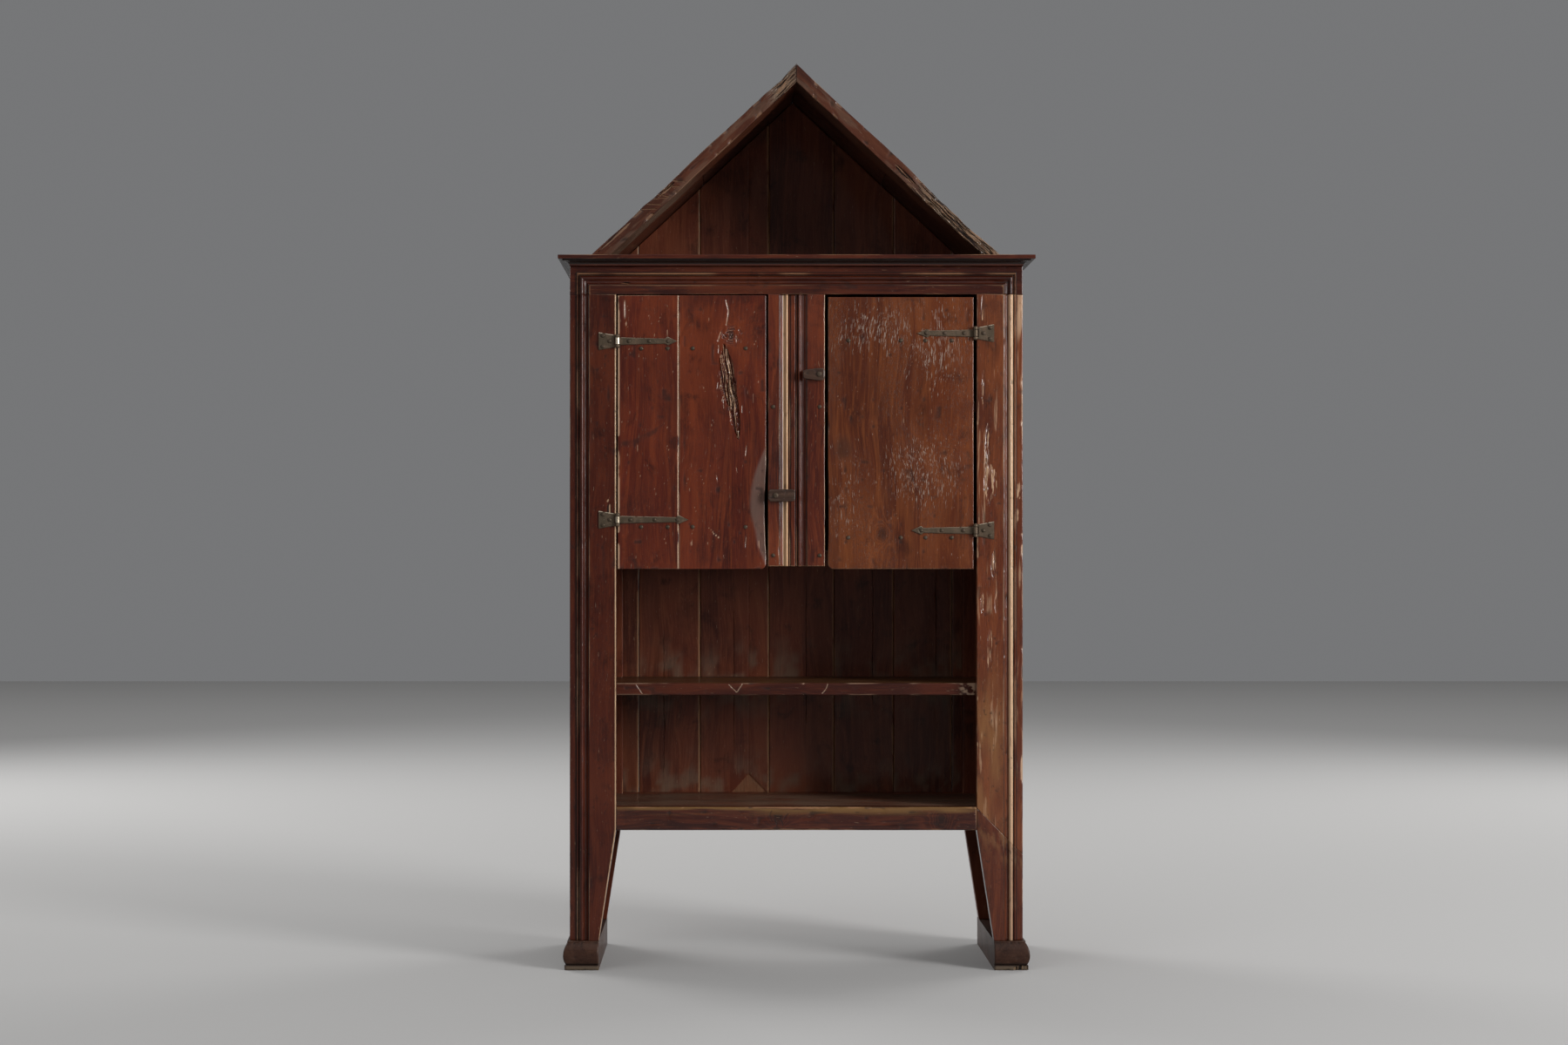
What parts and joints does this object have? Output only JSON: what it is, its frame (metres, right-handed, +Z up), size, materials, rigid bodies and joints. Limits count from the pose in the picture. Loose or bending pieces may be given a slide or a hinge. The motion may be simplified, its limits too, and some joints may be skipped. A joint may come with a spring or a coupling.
{
  "type": "gabled cupboard",
  "caption": "Tall rustic wooden cupboard with hinged plank doors, turn-button catches, open shelves below, sled feet and an open boarded gable on top.",
  "frame": {"origin": "on the floor, at the middle of the overall width and depth", "axes": "+Z up, -Y out of the front of the cupboard, +X to the right seen from the front"},
  "size_m": [1.024, 0.424, 1.95],
  "materials": {
    "frame_wood": "old waxed walnut-brown, worn pale on the edges",
    "left_door_wood": "deep red-brown waxed plank",
    "right_door_wood": "orange-brown open-grained plank",
    "inside_wood": "dull unwaxed brown board with dust",
    "roof_wood": "weathered red-brown with rough fibres",
    "foot_wood": "scuffed grey-brown",
    "button_wood": "grey-brown hand-worn block",
    "hinge_iron": "dark wrought iron, brown and rubbed",
    "nail_iron": "dark forged iron"
  },
  "bodies": {
    "carcass": {"back_plank_1": "inside_wood", "back_plank_2": "inside_wood", "back_plank_3": "inside_wood", "back_plank_4": "inside_wood", "back_plank_5": "inside_wood", "back_plank_6": "inside_wood", "back_plank_7": "inside_wood", "bottom_front_board": "inside_wood", "bottom_rail": "frame_wood", "bottom_rear_board": "inside_wood", "cornice_front": "frame_wood", "cornice_left": "frame_wood", "cornice_right": "frame_wood", "cupboard_floor": "inside_wood", "frame_nails": "nail_iron", "hinge_pins": "hinge_iron", "inner_shelf": "inside_wood", "left_foot": "foot_wood", "left_front_stile": "frame_wood", "left_hinge_plates": "hinge_iron", "left_rafter": "roof_wood", "left_rear_stile": "frame_wood", "left_roof_lower_board": "roof_wood", "left_roof_upper_board": "roof_wood", "left_shelf_bearers": "inside_wood", "left_side_front_board": "frame_wood", "left_side_rear_board": "frame_wood", "middle_shelf": "inside_wood", "muntin": "frame_wood", "rear_bottom_rail": "inside_wood", "rear_top_rail": "inside_wood", "right_foot": "foot_wood", "right_front_stile": "frame_wood", "right_hinge_plates": "hinge_iron", "right_leg_splice": "frame_wood", "right_rafter": "roof_wood", "right_rear_stile": "frame_wood", "right_roof_lower_board": "roof_wood", "right_roof_upper_board": "roof_wood", "right_shelf_bearers": "inside_wood", "right_side_front_board": "frame_wood", "right_side_rear_board": "frame_wood", "top_board": "frame_wood", "top_rail": "frame_wood", "turn_button_pivots": "nail_iron"},
    "left_door": {"left_door_hinge_plank": "left_door_wood", "left_door_lock_plank": "left_door_wood", "left_door_upper_batten": "inside_wood", "left_door_lower_batten": "inside_wood", "left_upper_strap": "hinge_iron", "left_lower_strap": "hinge_iron", "left_door_nails": "nail_iron"},
    "right_door": {"right_door_plank": "right_door_wood", "right_door_upper_batten": "inside_wood", "right_door_lower_batten": "inside_wood", "right_upper_strap": "hinge_iron", "right_lower_strap": "hinge_iron", "right_door_nails": "nail_iron"},
    "left_button": {"left_turn_button": "button_wood"},
    "right_button": {"right_turn_button": "button_wood"}
  },
  "joints": [
    {"name": "left_door_swing", "type": "hinge", "parent": "carcass", "child": "left_door", "pos_m": [-0.3845, -0.1935, 1.16], "axis": [0, 0, -1], "range_deg": [0, 170]},
    {"name": "right_door_swing", "type": "hinge", "parent": "carcass", "child": "right_door", "pos_m": [0.3845, -0.1935, 1.16], "axis": [0, 0, 1], "range_deg": [0, 170]},
    {"name": "left_button_turn", "type": "hinge", "parent": "carcass", "child": "left_button", "pos_m": [-0.0448, -0.1968, 1.02], "axis": [0, 1, 0], "range_deg": [0, 180]},
    {"name": "right_button_turn", "type": "hinge", "parent": "carcass", "child": "right_button", "pos_m": [0.0488, -0.1968, 1.28], "axis": [0, -1, 0], "range_deg": [0, 180]}
  ]
}
